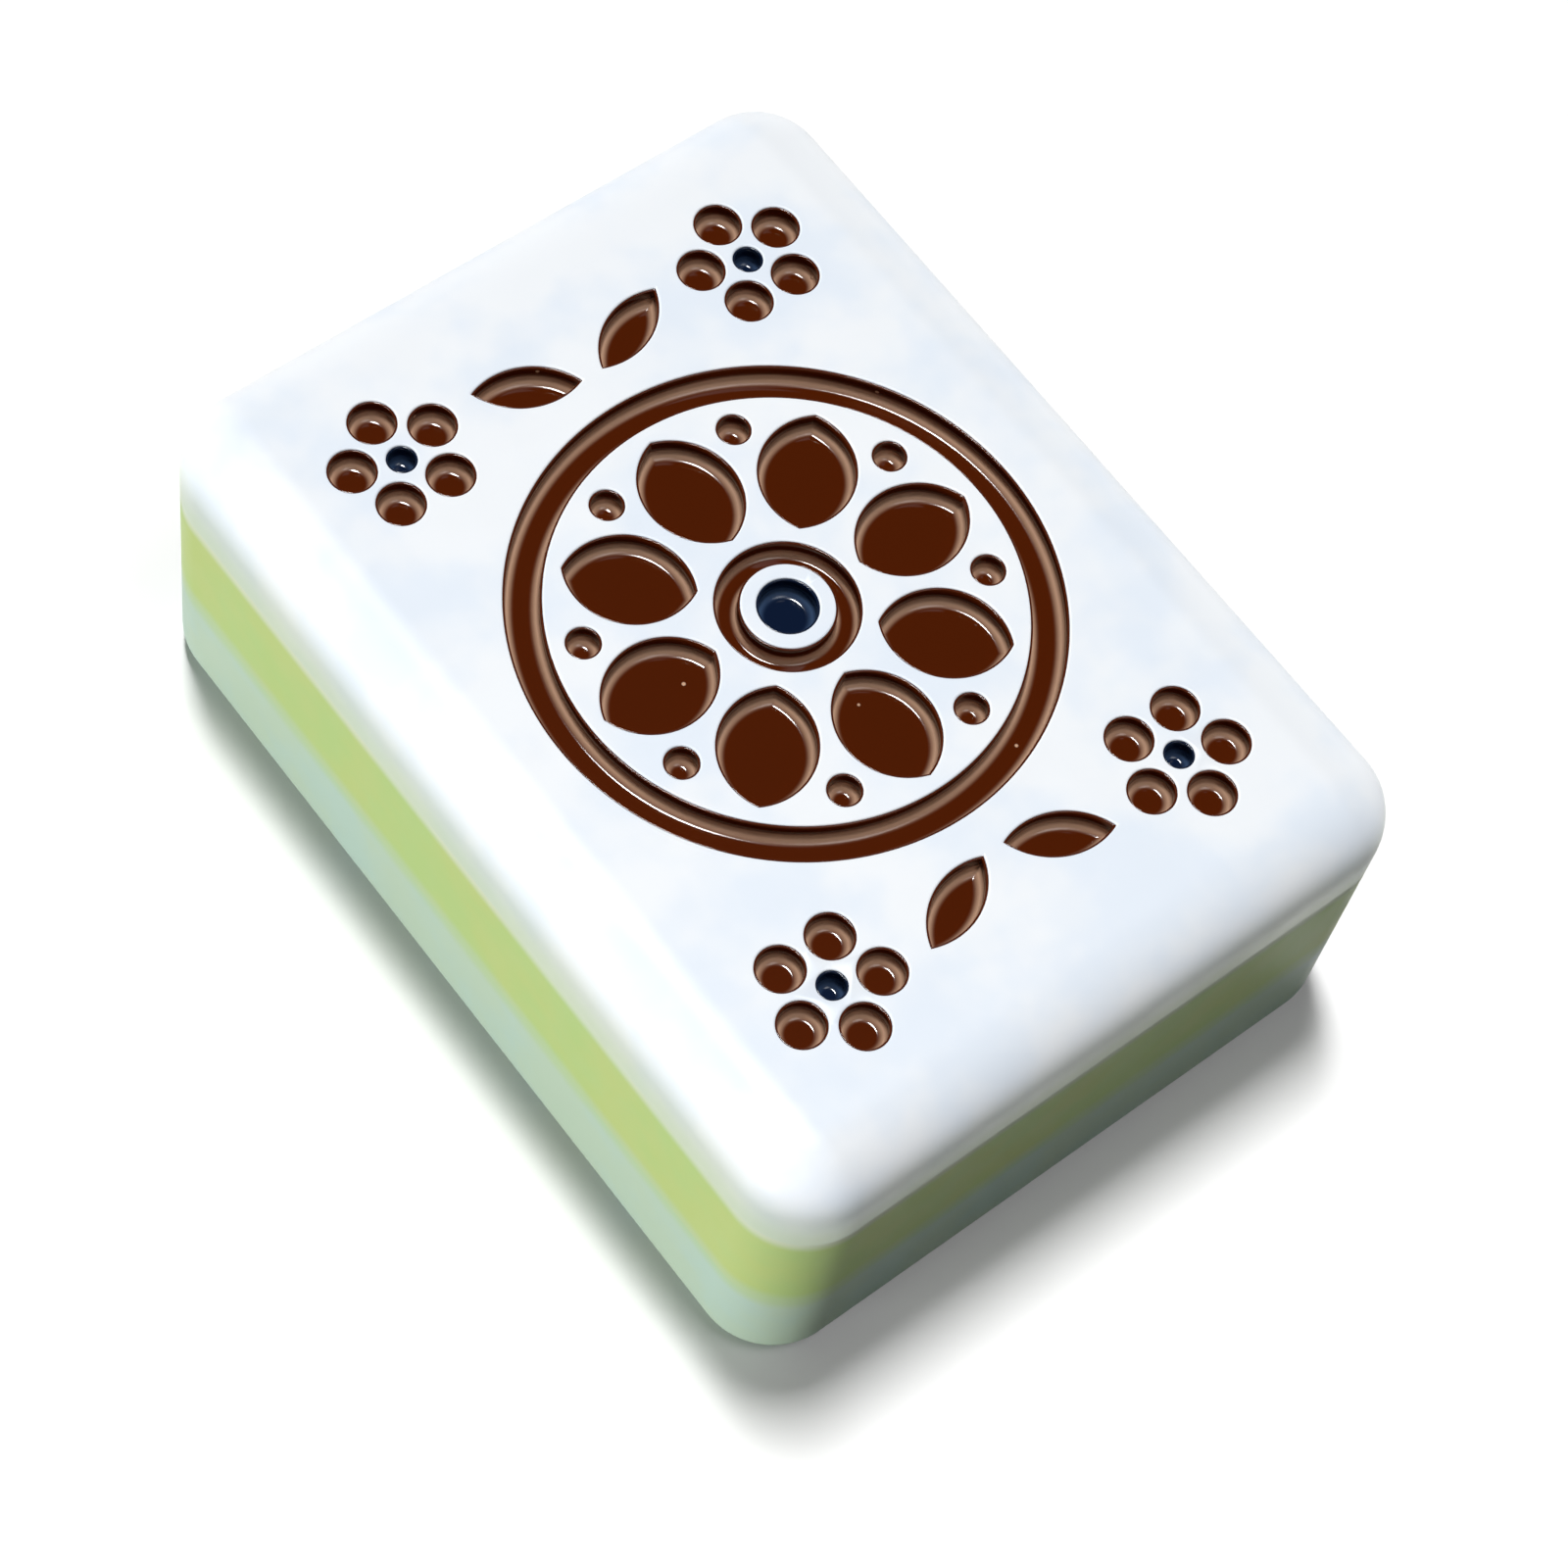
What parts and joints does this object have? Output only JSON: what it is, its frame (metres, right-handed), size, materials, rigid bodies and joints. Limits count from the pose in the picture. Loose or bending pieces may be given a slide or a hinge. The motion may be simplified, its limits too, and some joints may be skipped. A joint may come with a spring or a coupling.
{
  "type": "mahjong tile",
  "caption": "Rounded mahjong tile of a white, a lime and a mint layer, with an engraved flower medallion, blossoms and leaves filled with brown paint.",
  "frame": {"origin": "middle of the back face, on which the tile lies", "axes": "+X across the design, +Y up the design along the tile's length, +Z out of the engraved face"},
  "size_m": [0.0224, 0.03, 0.0116],
  "materials": {
    "face_resin": "opaque white moulded resin, polished",
    "middle_resin": "lime moulded resin, polished",
    "back_resin": "pale mint moulded resin, polished",
    "brown_paint": "brown enamel paint, glossy",
    "navy_paint": "navy enamel paint, glossy"
  },
  "bodies": {
    "root": {"face_layer": "face_resin", "middle_layer": "middle_resin", "back_layer": "back_resin", "outer_ring_paint": "brown_paint", "petal_paint": "brown_paint", "bead_paint": "brown_paint", "hub_ring_paint": "brown_paint", "centre_dot_paint": "navy_paint", "blossom_paint": "brown_paint", "blossom_dot_paint": "navy_paint", "leaf_paint": "brown_paint"}
  },
  "joints": []
}
